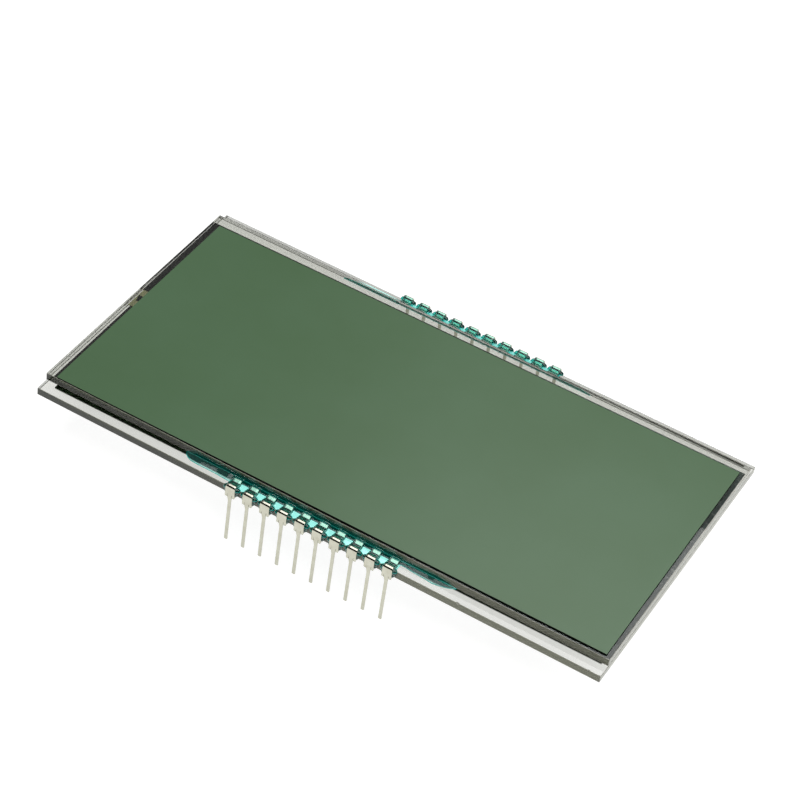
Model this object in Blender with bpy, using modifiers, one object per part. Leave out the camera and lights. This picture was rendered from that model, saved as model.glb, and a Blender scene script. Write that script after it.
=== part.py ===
"""Segment liquid-crystal display: a bare glass cell with two rows of clip-on pins.

Units are metres and +Z is up. The origin lies under the middle of the panel, on the plane
that the twenty leg tips stand on. X runs along the panel and the front row is on the -Y side.

Near a pin row, places are given as (inward, up): inward is measured from the long edge of the
rear glass towards the middle of the panel, and up from the underside of the rear glass.
"""
import math

import bmesh
import bpy
from mathutils import Matrix, Vector

# Glass cell
GLASS_LENGTH = 0.0820
GLASS_THICKNESS = 0.0011
FRONT_GLASS_WIDTH = 0.0406
LEDGE_WIDTH = 0.0019
GLASS_ARRIS = 0.00005
CELL_GAP = 0.0001

# Perimeter seal, with a fill port split in two by a short pillar. It is printed a little
# askew on the glass, and what lies between the plates is placed in its frame
SEAL_END_INSET = 0.00067
SEAL_SIDE_INSET = 0.00093
SEAL_SHIFT_Y = -0.0001
SEAL_TURN_DEG = 0.3
SEAL_WIDTH = 0.0009
PORT_WIDTH = 0.0037
PORT_SHIFT = -0.0001
PILLAR_LENGTH = 0.0012
END_SEAL_LENGTH = 0.0050
END_SEAL_PROUD = 0.00012
END_SEAL_DROP = 0.0006

# Conductive dots that carry the front glass's electrodes down to the rear glass
DOT_DIAMETER = 0.0009
DOT_INSET = 0.0013

# Films. The front one is laid by hand, off centre and a little turned, and the rear pair stays
# clear of the pins
FRONT_FILM_MARGIN = 0.00112
FRONT_FILM_THICKNESS = 0.0002
FRONT_FILM_SHIFT_X = 0.00037
FRONT_FILM_SHIFT_Y = -0.00088
FRONT_FILM_TURN_DEG = 0.3
REAR_FILM_END_MARGIN = 0.0012
REAR_FILM_SIDE_MARGIN = 0.0038
REAR_FILM_THICKNESS = 0.00018
REFLECTOR_THICKNESS = 0.0001

# Pins, stamped and folded from strip. Each row stands a little to one side of the middle
PINS_PER_ROW = 10
PIN_PITCH = 0.00254
PIN_ROW_SHIFT = 0.00019
METAL = 0.0002
BODY_WIDTH = 0.00138
BODY_STANDOFF = 0.00035
FINGER_WIDTH = 0.0012
SHOULDER_RADIUS = 0.00032
SHOULDER_HEIGHT = 0.00064
CONTACT_REACH = 0.00062
CONTACT_RADIUS = 0.00016
FINGER_REACH = 0.00120
FINGER_RISE_DEG = 36.0
FORK_HEIGHT = 0.00028
LOWER_BEND_RADIUS = 0.00026
LOWER_BEND_DROP = 0.00002
LOWER_CONTACT_REACH = 0.00075
LOWER_CONTACT_RADIUS = 0.0002
LOWER_REACH = 0.00115
LOWER_FLARE_DEG = -20.0
LOWER_TIP_OUTER = 0.00050
LOWER_TIP_INNER = 0.00030
LEG_ROOT_WIDTH = 0.00060
LEG_WIDTH = 0.00043
LEG_SLIT = 0.00006
LEG_TAPER = 0.0007
LEG_STANDOFF = 0.00023
LEG_DROP = 0.0077

# Resin that bonds the pins to the ledge
RESIN_FILM = 0.00007
RESIN_CLIMB = 0.00086
RESIN_DIP = 0.0003
RESIN_HOLD = 0.00010
RESIN_REACH = 0.0005
RESIN_GAP_REACH = 0.0002
RESIN_SIDE = 0.00003
SHOULDER_BARE_DROP = 0.0003
SHOULDER_BARE_INWARD = 0.00012
SHOULDER_BACK_DROP = 0.00008
FILLET_FOOT = 0.00075

# How the resin swells and falls, as shares: its lip out from the ledge, from the bottom up; its
# valley along the contact; its skin between two pins, first along the contact and then along
# the ledge, each with its height in films; its fall from a pin to the gap; its run-out
PIN_LIP_SHARES = (0.7, 1.0, 1.0, 0.8, 0.4)
GAP_LIP_SHARES = (0.7, 1.0, 1.0, 0.7)
VALLEY_SHARES = (0.72, 1.3)
VALLEY_RISE_FILMS = 0.5
GAP_CONTACT_SKIN = ((0.4, 3.0), (0.9, 3.7), (1.5, 5.0))
GAP_LEDGE_SKIN = ((0.69, 7.0), (0.85, 10.0))
EDGE_SKIN_FILMS = 2
LIP_SKIN_FILMS = 3
FALL_AT = 0.35
FALL_SHARE = 0.62
RUNOUT_SCALE = 0.3
RUNOUT_SHARES = (0.0, 0.45, 0.85, 1.0)
FRONT_TAILS = (0.0078, 0.0079)
BACK_TAILS = (0.0058, 0.0091)

# Air left between pieces that touch on the real display
CLEARANCE = 0.00001

# Facets in a quarter turn of a bend and along a fillet, above the ledge and inside the glass,
# and the angle above which an edge stays sharp
BEND_STEPS = 4
FILLET_STEPS = 6
BURIED_STEPS = 5
SMOOTH_DEG = 40.0
DOT_SIDES = 24

REAR_GLASS_WIDTH = FRONT_GLASS_WIDTH + 2 * LEDGE_WIDTH
FRONT_FILM_LENGTH = GLASS_LENGTH - 2 * FRONT_FILM_MARGIN
FRONT_FILM_WIDTH = FRONT_GLASS_WIDTH - 2 * FRONT_FILM_MARGIN
REAR_FILM_LENGTH = GLASS_LENGTH - 2 * REAR_FILM_END_MARGIN
REAR_FILM_WIDTH = REAR_GLASS_WIDTH - 2 * REAR_FILM_SIDE_MARGIN
REAR_GLASS_BOTTOM = LEG_DROP
REAR_GLASS_TOP = REAR_GLASS_BOTTOM + GLASS_THICKNESS
FRONT_GLASS_BOTTOM = REAR_GLASS_TOP + CELL_GAP
FRONT_GLASS_TOP = FRONT_GLASS_BOTTOM + GLASS_THICKNESS
CELL_MIDDLE = REAR_GLASS_TOP + CELL_GAP / 2
CELL_FILL = CELL_GAP - 2 * CLEARANCE
ROW_LENGTH = (PINS_PER_ROW - 1) * PIN_PITCH
BODY_CENTRE = -BODY_STANDOFF - METAL / 2
LEG_CENTRE = -LEG_STANDOFF - METAL / 2
LEDGE_TOP = GLASS_THICKNESS
SEAL_OUTER_LENGTH = GLASS_LENGTH - 2 * SEAL_END_INSET
SEAL_OUTER_WIDTH = FRONT_GLASS_WIDTH - 2 * SEAL_SIDE_INSET
SEAL_INNER_LENGTH = SEAL_OUTER_LENGTH - 2 * SEAL_WIDTH
SEAL_INNER_WIDTH = SEAL_OUTER_WIDTH - 2 * SEAL_WIDTH
RESIN_BACK = LEDGE_WIDTH + RESIN_DIP
RESIN_ROOT = (RESIN_BACK, LEDGE_TOP / 2)


def clear_scene():
    """Remove the objects that the file opened with."""
    for obj in list(bpy.data.objects):
        bpy.data.objects.remove(obj, do_unlink=True)


def new_collection(name):
    """A collection linked to the scene."""
    collection = bpy.data.collections.new(name)
    bpy.context.scene.collection.children.link(collection)
    return collection


def new_material(name, colour, roughness, metallic=0.0, alpha=1.0):
    """A Principled material from a linear colour."""
    material = bpy.data.materials.new(name)
    material.use_nodes = True
    shader = material.node_tree.nodes["Principled BSDF"]
    shader.inputs["Base Color"].default_value = (*colour, 1.0)
    shader.inputs["Roughness"].default_value = roughness
    shader.inputs["Metallic"].default_value = metallic
    shader.inputs["Alpha"].default_value = alpha
    return material


def link_mesh(name, mesh, collection, material=None):
    """An object that shows the mesh, in the collection."""
    obj = bpy.data.objects.new(name, mesh)
    collection.objects.link(obj)
    if material is not None:
        mesh.materials.clear()
        mesh.materials.append(material)
    return obj


def box(name, size, centre, collection, material=None):
    """A box of the given size, with its scale in the mesh."""
    mesh = bpy.data.meshes.new(name)
    shape = bmesh.new()
    bmesh.ops.create_cube(shape, size=1.0)
    bmesh.ops.scale(shape, vec=Vector(size), verts=shape.verts)
    shape.to_mesh(mesh)
    shape.free()
    obj = link_mesh(name, mesh, collection, material)
    obj.location = centre
    return obj


def make_cutter(obj):
    """Show a cutting shape as wires only."""
    obj.display_type = "WIRE"
    obj.hide_render = True
    return obj


def add_bevel(obj, width, segments):
    """Round or chamfer every edge."""
    bevel = obj.modifiers.new("edges", "BEVEL")
    bevel.width = width
    bevel.segments = segments
    bevel.limit_method = "ANGLE"


def add_boolean(obj, other, operation):
    """Cut or join another object."""
    modifier = obj.modifiers.new(f"{operation.lower()} {other.name}", "BOOLEAN")
    modifier.operation = operation
    modifier.solver = "EXACT"
    modifier.object = other


def make_glass_plates(parts, glass):
    """Rear plate with the contact ledges, and the narrower front plate."""
    rear = box(
        "rear_glass",
        (GLASS_LENGTH, REAR_GLASS_WIDTH, GLASS_THICKNESS),
        (0, 0, REAR_GLASS_BOTTOM + GLASS_THICKNESS / 2),
        parts,
        glass,
    )
    front = box(
        "front_glass",
        (GLASS_LENGTH, FRONT_GLASS_WIDTH, GLASS_THICKNESS),
        (0, 0, FRONT_GLASS_BOTTOM + GLASS_THICKNESS / 2),
        parts,
        glass,
    )
    for plate in (rear, front):
        add_bevel(plate, GLASS_ARRIS, 1)


def make_films(parts, polarizer, foil):
    """Front polarizer, rear polarizer and the reflector under it."""
    front = box(
        "front_polarizer",
        (FRONT_FILM_LENGTH, FRONT_FILM_WIDTH, FRONT_FILM_THICKNESS),
        (
            FRONT_FILM_SHIFT_X,
            FRONT_FILM_SHIFT_Y,
            FRONT_GLASS_TOP + CLEARANCE + FRONT_FILM_THICKNESS / 2,
        ),
        parts,
        polarizer,
    )
    front.rotation_euler.z = math.radians(FRONT_FILM_TURN_DEG)
    rear_film_top = REAR_GLASS_BOTTOM - CLEARANCE
    box(
        "rear_polarizer",
        (REAR_FILM_LENGTH, REAR_FILM_WIDTH, REAR_FILM_THICKNESS),
        (0, 0, rear_film_top - REAR_FILM_THICKNESS / 2),
        parts,
        polarizer,
    )
    reflector_top = rear_film_top - REAR_FILM_THICKNESS - CLEARANCE
    box(
        "reflector",
        (REAR_FILM_LENGTH, REAR_FILM_WIDTH, REFLECTOR_THICKNESS),
        (0, 0, reflector_top - REFLECTOR_THICKNESS / 2),
        parts,
        foil,
    )


def seal_frame():
    """Where the printed seal's own middle and axes lie on the panel."""
    turn = Matrix.Rotation(math.radians(SEAL_TURN_DEG), 4, "Z")
    return Matrix.Translation((0, SEAL_SHIFT_Y, 0)) @ turn


def seat_in_seal(*objects):
    """Turn objects with the seal. Their places until now are places in its frame."""
    for obj in objects:
        obj.matrix_world = seal_frame() @ Matrix.Translation(obj.location)


def make_seal(parts, cutters, epoxy):
    """Printed seal line round the cell, open at the fill port, and the port's pillar."""
    seal = box(
        "perimeter_seal",
        (SEAL_OUTER_LENGTH, SEAL_OUTER_WIDTH, CELL_FILL),
        (0, 0, CELL_MIDDLE),
        parts,
        epoxy,
    )
    inside = box(
        "cut_seal_inside",
        (SEAL_INNER_LENGTH, SEAL_INNER_WIDTH, CELL_GAP),
        (0, 0, CELL_MIDDLE),
        cutters,
    )
    port = box(
        "cut_fill_port",
        (2 * SEAL_WIDTH, PORT_WIDTH, CELL_GAP),
        (-SEAL_OUTER_LENGTH / 2 + SEAL_WIDTH / 2, PORT_SHIFT, CELL_MIDDLE),
        cutters,
    )
    for cutter in (inside, port):
        add_boolean(seal, make_cutter(cutter), "DIFFERENCE")
    pillar = box(
        "fill_port_pillar",
        (SEAL_WIDTH, PILLAR_LENGTH, CELL_FILL),
        (-SEAL_OUTER_LENGTH / 2 + SEAL_WIDTH / 2, PORT_SHIFT, CELL_MIDDLE),
        parts,
        epoxy,
    )
    seat_in_seal(seal, inside, port, pillar)


def make_end_seal(parts, cutters, glue):
    """Clear plug in the fill port, with the low bead that it leaves on the glass edges."""
    bead_height = 2 * (GLASS_THICKNESS - END_SEAL_DROP) + CELL_GAP
    bead_middle = -GLASS_LENGTH / 2 - CLEARANCE - END_SEAL_PROUD / 2
    port = seal_frame() @ Vector((bead_middle, PORT_SHIFT, CELL_MIDDLE))
    bead = box(
        "end_seal",
        (END_SEAL_PROUD, END_SEAL_LENGTH, bead_height),
        (bead_middle, port.y, CELL_MIDDLE),
        parts,
        glue,
    )
    add_bevel(bead, END_SEAL_PROUD / 3, 2)
    plug_end = -SEAL_INNER_LENGTH / 2
    plug = box(
        "join_fill_plug",
        (plug_end - bead_middle, PORT_WIDTH - 2 * CLEARANCE, CELL_FILL),
        ((bead_middle + plug_end) / 2, PORT_SHIFT, CELL_MIDDLE),
        cutters,
    )
    pillar_face = -SEAL_OUTER_LENGTH / 2 - CLEARANCE
    pillar = box(
        "cut_pillar_room",
        (2 * SEAL_WIDTH, PILLAR_LENGTH + 2 * CLEARANCE, CELL_GAP),
        (pillar_face + SEAL_WIDTH, PORT_SHIFT, CELL_MIDDLE),
        cutters,
    )
    seat_in_seal(plug, pillar)
    add_boolean(bead, make_cutter(plug), "UNION")
    add_boolean(bead, make_cutter(pillar), "DIFFERENCE")


def dot_places():
    """Opposite corners of the cell, just inside the seal, in the seal's frame."""
    x = SEAL_INNER_LENGTH / 2 - DOT_INSET
    y = SEAL_INNER_WIDTH / 2 - DOT_INSET
    return {"left": (-x, y), "right": (x, -y)}


def disc(name, diameter, height, centre, collection, material=None):
    """A short upright cylinder."""
    mesh = bpy.data.meshes.new(name)
    shape = bmesh.new()
    bmesh.ops.create_cone(
        shape,
        cap_ends=True,
        segments=DOT_SIDES,
        radius1=diameter / 2,
        radius2=diameter / 2,
        depth=height,
    )
    shape.to_mesh(mesh)
    shape.free()
    obj = link_mesh(name, mesh, collection, material)
    obj.location = centre
    return obj


def make_cell_filling(parts, cutters, crystal, silver):
    """Liquid crystal inside the seal, and the two conductive dots that stand in it."""
    layer = box(
        "liquid_crystal",
        (SEAL_INNER_LENGTH - 2 * CLEARANCE, SEAL_INNER_WIDTH - 2 * CLEARANCE, CELL_FILL),
        (0, 0, CELL_MIDDLE),
        parts,
        crystal,
    )
    seat_in_seal(layer)
    for side, (x, y) in dot_places().items():
        centre = (x, y, CELL_MIDDLE)
        dot = disc(f"crossover_dot_{side}", DOT_DIAMETER, CELL_FILL, centre, parts, silver)
        room = DOT_DIAMETER + 2 * CLEARANCE
        hole = disc(f"cut_dot_{side}", room, CELL_GAP, centre, cutters)
        seat_in_seal(dot, hole)
        add_boolean(layer, make_cutter(hole), "DIFFERENCE")


def heading(degrees):
    """Unit vector at an angle from inward towards up."""
    return Vector((math.cos(math.radians(degrees)), math.sin(math.radians(degrees))))


def bend(centre, radius, start_deg, end_deg):
    """Points along an arc, from one travel direction to another."""
    turn = math.copysign(90, end_deg - start_deg)
    steps = max(2, math.ceil(abs(end_deg - start_deg) / 90 * BEND_STEPS))
    points = []
    for step in range(steps + 1):
        travel = start_deg + (end_deg - start_deg) * step / steps
        points.append(centre + heading(travel - turn) * radius)
    return points


def cross_tangent(first, first_radius, second, second_radius, turn):
    """Travel direction of the straight stretch between two bends that turn opposite ways."""
    across = second - first
    lean = math.asin((first_radius + second_radius) / across.length)
    return math.degrees(math.atan2(across.y, across.x) + turn * lean)


def upper_path(extra):
    """Middle line of the strip, over the shoulder and down and up to the end of the finger.

    The shoulder's points come first, so the strip can be narrowed over them.
    """
    shoulder = Vector(
        (
            BODY_CENTRE + SHOULDER_RADIUS,
            LEDGE_TOP + SHOULDER_HEIGHT - METAL / 2 - SHOULDER_RADIUS,
        )
    )
    contact = Vector(
        (CONTACT_REACH, LEDGE_TOP + CLEARANCE + METAL / 2 + CONTACT_RADIUS)
    )
    slope = cross_tangent(shoulder, SHOULDER_RADIUS, contact, CONTACT_RADIUS, -1)
    over = bend(shoulder, SHOULDER_RADIUS, 90, slope)
    finger = bend(contact, CONTACT_RADIUS, slope, FINGER_RISE_DEG)
    rise = heading(FINGER_RISE_DEG)
    length = (FINGER_REACH - finger[-1].x) / rise.x
    finger.append(finger[-1] + rise * (length + extra))
    return over, finger


def lower_path():
    """Middle line of a lower finger, from the fork, under the glass, to its end."""
    turn_in = Vector((BODY_CENTRE + LOWER_BEND_RADIUS, -LOWER_BEND_DROP))
    contact = Vector(
        (LOWER_CONTACT_REACH, -CLEARANCE - METAL / 2 - LOWER_CONTACT_RADIUS)
    )
    slope = cross_tangent(turn_in, LOWER_BEND_RADIUS, contact, LOWER_CONTACT_RADIUS, 1)
    path = bend(turn_in, LOWER_BEND_RADIUS, -90, slope)
    path += bend(contact, LOWER_CONTACT_RADIUS, slope, LOWER_FLARE_DEG)
    flare = heading(LOWER_FLARE_DEG)
    path.append(path[-1] + flare * ((LOWER_REACH - path[-1].x) / flare.x))
    return path


def leg_path():
    """Middle line of the leg, stepped in a little under the body and then straight down."""
    return [
        Vector((BODY_CENTRE, -METAL)),
        Vector((LEG_CENTRE, -METAL - LEG_TAPER)),
        Vector((LEG_CENTRE, -LEG_DROP)),
    ]


def add_strip(shape, last_edge, path, edges_at):
    """Carry a strip on from an edge of two vertices, through the points of a path."""
    for index, point in enumerate(path):
        left, right = edges_at(index)
        new_edge = [shape.verts.new((x, point.x, point.y)) for x in (left, right)]
        shape.faces.new((last_edge[0], last_edge[1], new_edge[1], new_edge[0]))
        last_edge = new_edge


def pin_surface(name, grow):
    """Folded blank of one pin as an open surface, made wider all round by grow."""
    shape = bmesh.new()
    half_body = BODY_WIDTH / 2 + grow
    half_leg = LEG_ROOT_WIDTH / 2 + grow
    slit_side = LEG_ROOT_WIDTH / 2 + LEG_SLIT - grow
    fork_x = (-half_body, -slit_side, -half_leg, half_leg, slit_side, half_body)
    fork = [shape.verts.new((x, BODY_CENTRE, FORK_HEIGHT)) for x in fork_x]

    over, finger = upper_path(grow)
    body_top = [shape.verts.new((x, *over[0])) for x in (-half_body, half_body)]
    shape.faces.new((*fork, body_top[1], body_top[0]))
    half_finger = FINGER_WIDTH / 2 + grow

    def upper_edges(index):
        share = min(1.0, (index + 1) / (len(over) - 1))
        half = half_body + (half_finger - half_body) * share
        return -half, half

    add_strip(shape, body_top, over[1:] + finger, upper_edges)

    leg_halves = (LEG_ROOT_WIDTH / 2, LEG_WIDTH / 2, LEG_WIDTH / 2)

    def leg_edges(index):
        return leg_halves[index] + grow, -leg_halves[index] - grow

    add_strip(shape, (fork[3], fork[2]), leg_path(), leg_edges)

    lower = lower_path()
    last = len(lower) - 1
    for side, inner, outer in ((-1, fork[1], fork[0]), (1, fork[4], fork[5])):

        def lower_edges(index, side=side):
            share = index / last
            near = slit_side + (LOWER_TIP_INNER - grow - slit_side) * share
            far = half_body + (LOWER_TIP_OUTER + grow - half_body) * share
            return side * near, side * far

        add_strip(shape, (inner, outer), lower, lower_edges)

    bmesh.ops.recalc_face_normals(shape, faces=shape.faces)
    mesh = bpy.data.meshes.new(name)
    shape.to_mesh(mesh)
    shape.free()
    return mesh


def add_metal(obj, thickness):
    """Give the folded surface its thickness, half to each side."""
    solid = obj.modifiers.new("metal", "SOLIDIFY")
    solid.thickness = thickness
    solid.offset = 0.0
    solid.use_even_offset = True


def smooth_bends(mesh):
    """Shade the bends round and keep the cut edges crisp."""
    mesh.shade_smooth()
    mesh.set_sharp_from_angle(angle=math.radians(SMOOTH_DEG))


def finished_pin():
    """Mesh of one whole pin, shared by every pin object."""
    blank = bpy.data.objects.new("blank", pin_surface("pin_blank", 0.0))
    bpy.context.scene.collection.objects.link(blank)
    add_metal(blank, METAL)
    depsgraph = bpy.context.evaluated_depsgraph_get()
    mesh = bpy.data.meshes.new_from_object(blank.evaluated_get(depsgraph))
    mesh.name = "pin"
    bpy.data.objects.remove(blank, do_unlink=True)
    smooth_bends(mesh)
    return mesh


def row_matrix(side):
    """Places (along, inward, up) at the front edge, or turned half round to the back edge."""
    turned = Matrix.Rotation(math.pi if side == "back" else 0.0, 4, "Z")
    edge = Vector((PIN_ROW_SHIFT, -REAR_GLASS_WIDTH / 2, REAR_GLASS_BOTTOM))
    return turned @ Matrix.Translation(edge)


def pin_along(side, index):
    """Place of a pin along its own row. Both rows are counted from the -X end."""
    along = -ROW_LENGTH / 2 + index * PIN_PITCH
    return -along if side == "back" else along


def make_pins(parts, tin):
    """Two rows of identical pins, gripping the ledges of the rear glass."""
    mesh = finished_pin()
    for side in ("front", "back"):
        for index in range(PINS_PER_ROW):
            pin = link_mesh(f"pin_{side}_{index + 1:02d}", mesh, parts, tin)
            shift = Matrix.Translation((pin_along(side, index), 0, 0))
            pin.matrix_world = row_matrix(side) @ shift


def fillet_outline():
    """Outline of the resin past the row: a hollow fillet between ledge and front glass."""
    buried = []
    for step in range(BURIED_STEPS):
        depth = 1 - step / BURIED_STEPS
        buried.append((FILLET_FOOT + RESIN_DIP * depth, LEDGE_TOP * (1 - depth / 2)))
    visible = []
    for step in range(FILLET_STEPS + 1):
        share = step / FILLET_STEPS
        inward = FILLET_FOOT + (RESIN_BACK - FILLET_FOOT) * share
        visible.append((inward, LEDGE_TOP + RESIN_CLIMB * share**2))
    return buried + visible + [RESIN_ROOT]


def pin_outline():
    """Outline of the resin at a pin: it covers the finger and stops short of the shoulder."""
    finger_end = upper_path(0)[1][-1]
    crest = finger_end.y + METAL / 2 + RESIN_FILM
    shoulder = LEDGE_TOP + SHOULDER_HEIGHT
    valley = crest - RESIN_DIP
    lip_heights = (
        RESIN_HOLD,
        RESIN_HOLD + RESIN_DIP,
        LEDGE_TOP - RESIN_FILM,
        LEDGE_TOP + METAL,
        shoulder - SHOULDER_BARE_DROP,
    )
    lip = [(-RESIN_REACH * share, up) for share, up in zip(PIN_LIP_SHARES, lip_heights)]
    return [
        (RESIN_DIP, RESIN_HOLD),
        *lip,
        (SHOULDER_BARE_INWARD, shoulder - SHOULDER_BACK_DROP),
        (CONTACT_REACH * VALLEY_SHARES[0], valley),
        (CONTACT_REACH * VALLEY_SHARES[1], valley + RESIN_FILM * VALLEY_RISE_FILMS),
        (FINGER_REACH + RESIN_FILM, crest),
        (LEDGE_WIDTH - RESIN_DIP, crest + RESIN_FILM),
        (RESIN_BACK, LEDGE_TOP + RESIN_CLIMB + RESIN_FILM),
        RESIN_ROOT,
    ]


def gap_outline():
    """Outline of the resin between two pins: a thin skin over the ledge and its edge."""
    foot = 2 * RESIN_HOLD
    lip_heights = (
        foot,
        RESIN_HOLD + RESIN_DIP,
        LEDGE_TOP - LIP_SKIN_FILMS * RESIN_FILM,
        LEDGE_TOP + RESIN_FILM,
    )
    lip = [(-RESIN_GAP_REACH * share, up) for share, up in zip(GAP_LIP_SHARES, lip_heights)]
    over = [(CONTACT_REACH * at, LEDGE_TOP + films * RESIN_FILM) for at, films in GAP_CONTACT_SKIN]
    over += [(LEDGE_WIDTH * at, LEDGE_TOP + films * RESIN_FILM) for at, films in GAP_LEDGE_SKIN]
    return [
        (RESIN_DIP, foot),
        *lip,
        (0.0, LEDGE_TOP + EDGE_SKIN_FILMS * RESIN_FILM),
        *over,
        (RESIN_BACK, LEDGE_TOP + RESIN_CLIMB),
        RESIN_ROOT,
    ]


def as_points(outline):
    """Outline as vectors."""
    return [Vector(point) for point in outline]


def mixed(first, second, share):
    """Outline part of the way from one outline to another."""
    return [a.lerp(b, share) for a, b in zip(first, second)]


def resin_stations(tails):
    """Every place along the row where an outline of the poured resin is set, in order.

    The outlines close inside the glass, which is cut away afterwards. From a pin's side the
    resin falls off in a hollow curve to the middle of the gap, and past the row in a fillet
    that runs out along the front glass.
    """
    at_pin = as_points(pin_outline())
    between = as_points(gap_outline())
    fillet = as_points(fillet_outline())
    half_pin = BODY_WIDTH / 2 + RESIN_SIDE
    half_gap = PIN_PITCH / 2 - half_pin
    stations = []
    for index in range(PINS_PER_ROW):
        middle = -ROW_LENGTH / 2 + index * PIN_PITCH
        for sign, outermost in ((-1, index == 0), (1, index == PINS_PER_ROW - 1)):
            beside = fillet if outermost else between
            fallen = mixed(at_pin, beside, FALL_SHARE)
            stations.append((middle + sign * half_pin, at_pin))
            stations.append((middle + sign * (half_pin + half_gap * FALL_AT), fallen))
        if index < PINS_PER_ROW - 1:
            stations.append((middle + PIN_PITCH / 2, between))
    corner = Vector((LEDGE_WIDTH, LEDGE_TOP))
    runout = [corner + (point - corner) * RUNOUT_SCALE for point in fillet]
    for sign, tail in ((-1, tails[0]), (1, tails[1])):
        start = ROW_LENGTH / 2 + PIN_PITCH / 2
        length = tail - PIN_PITCH / 2
        for share in RUNOUT_SHARES:
            outline = mixed(fillet, runout, share**2)
            stations.append((sign * (start + length * share), outline))
    return sorted(stations, key=lambda station: station[0])


def poured_resin(name, tails, parts, material):
    """Loft through the outlines, with flat ends."""
    shape = bmesh.new()
    rings = []
    for along, outline in resin_stations(tails):
        rings.append([shape.verts.new((along, point.x, point.y)) for point in outline])
    count = len(rings[0])
    for ring, following in zip(rings, rings[1:]):
        for corner in range(count):
            after = (corner + 1) % count
            shape.faces.new(
                (ring[corner], ring[after], following[after], following[corner])
            )
    shape.faces.new(rings[0])
    shape.faces.new(reversed(rings[-1]))
    bmesh.ops.recalc_face_normals(shape, faces=shape.faces)
    mesh = bpy.data.meshes.new(name)
    shape.to_mesh(mesh)
    shape.free()
    smooth_bends(mesh)
    return link_mesh(name, mesh, parts, material)


def make_resin(parts, cutters, resin):
    """Two resin beads, shaped by the glass and by the pins that stand in them."""
    room = pin_surface("pin_room", CLEARANCE)
    for side, tails in (("front", FRONT_TAILS), ("back", BACK_TAILS)):
        place = row_matrix(side)
        bead = poured_resin(f"resin_{side}", tails, parts, resin)
        bead.matrix_world = place

        rear_room = box(
            f"cut_{side}_rear_glass",
            (GLASS_LENGTH, REAR_GLASS_WIDTH, GLASS_THICKNESS + CLEARANCE),
            (0, 0, 0),
            cutters,
        )
        rear_room.matrix_world = place @ Matrix.Translation(
            (0, REAR_GLASS_WIDTH / 2 - CLEARANCE, (GLASS_THICKNESS + CLEARANCE) / 2)
        )
        front_room = box(
            f"cut_{side}_front_glass",
            (GLASS_LENGTH, FRONT_GLASS_WIDTH, 2 * FRONT_GLASS_TOP),
            (0, 0, 0),
            cutters,
        )
        front_room.matrix_world = place @ Matrix.Translation(
            (0, LEDGE_WIDTH + FRONT_GLASS_WIDTH / 2 - CLEARANCE, 0)
        )
        pins = link_mesh(f"cut_{side}_pins", room, cutters)
        pins.matrix_world = place @ Matrix.Translation((-ROW_LENGTH / 2, 0, 0))
        row = pins.modifiers.new("row", "ARRAY")
        row.use_relative_offset = False
        row.use_constant_offset = True
        row.constant_offset_displace = (PIN_PITCH, 0, 0)
        row.count = PINS_PER_ROW
        add_metal(pins, METAL + 2 * CLEARANCE)
        for cutter in (rear_room, front_room, pins):
            add_boolean(bead, make_cutter(cutter), "DIFFERENCE")


def main():
    """Build the display."""
    clear_scene()
    parts = new_collection("segment_lcd_display")
    cutters = new_collection("cutters")
    glass = new_material("float_glass", (0.62, 0.72, 0.66), 0.05, alpha=0.35)
    polarizer = new_material("polarizer_film", (0.10, 0.16, 0.10), 0.35)
    foil = new_material("reflector_foil", (0.60, 0.62, 0.60), 0.35, metallic=1.0)
    epoxy = new_material("seal_epoxy", (0.010, 0.012, 0.012), 0.5)
    glue = new_material("end_seal_glue", (0.45, 0.42, 0.30), 0.25)
    crystal = new_material("liquid_crystal", (0.20, 0.26, 0.20), 0.2)
    silver = new_material("silver_paste", (0.55, 0.55, 0.55), 0.4, metallic=1.0)
    tin = new_material("tinned_bronze", (0.62, 0.60, 0.54), 0.3, metallic=1.0)
    resin = new_material("teal_resin", (0.01, 0.30, 0.24), 0.08)

    make_glass_plates(parts, glass)
    make_films(parts, polarizer, foil)
    make_seal(parts, cutters, epoxy)
    make_end_seal(parts, cutters, glue)
    make_cell_filling(parts, cutters, crystal, silver)
    make_pins(parts, tin)
    make_resin(parts, cutters, resin)


main()
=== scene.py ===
# %% [markdown]
# A bare segment display: two plates of glass with liquid crystal between them, a grey-green
# polarizer on top, and two rows of folded metal pins bonded to the glass with teal resin.
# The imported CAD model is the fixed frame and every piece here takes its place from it. Glass is
# the hard part: where two pieces touch on the real display, light crosses the joint, but a gap
# of a hundredth of a millimetre between two meshes would turn it back like a mirror. So the
# pieces that are bonded to the glass are pressed a little way into it.

# %% Load the frame
import math
import random

import bpy
from mathutils import Matrix, Vector


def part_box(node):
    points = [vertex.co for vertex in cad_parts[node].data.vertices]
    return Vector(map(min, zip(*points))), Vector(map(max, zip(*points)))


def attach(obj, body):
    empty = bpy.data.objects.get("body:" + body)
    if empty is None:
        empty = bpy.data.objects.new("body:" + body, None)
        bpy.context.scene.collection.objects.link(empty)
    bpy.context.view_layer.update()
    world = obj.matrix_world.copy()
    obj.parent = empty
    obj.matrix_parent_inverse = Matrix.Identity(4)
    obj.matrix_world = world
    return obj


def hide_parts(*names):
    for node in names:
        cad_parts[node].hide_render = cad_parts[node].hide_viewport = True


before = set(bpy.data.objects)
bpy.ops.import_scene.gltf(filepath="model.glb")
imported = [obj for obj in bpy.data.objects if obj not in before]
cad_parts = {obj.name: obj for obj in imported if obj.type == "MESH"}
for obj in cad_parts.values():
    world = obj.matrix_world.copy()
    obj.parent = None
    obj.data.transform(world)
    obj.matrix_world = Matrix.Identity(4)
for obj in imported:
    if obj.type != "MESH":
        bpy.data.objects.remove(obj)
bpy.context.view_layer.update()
MM = 0.001
print("CAD nodes:", len(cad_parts))

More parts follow.
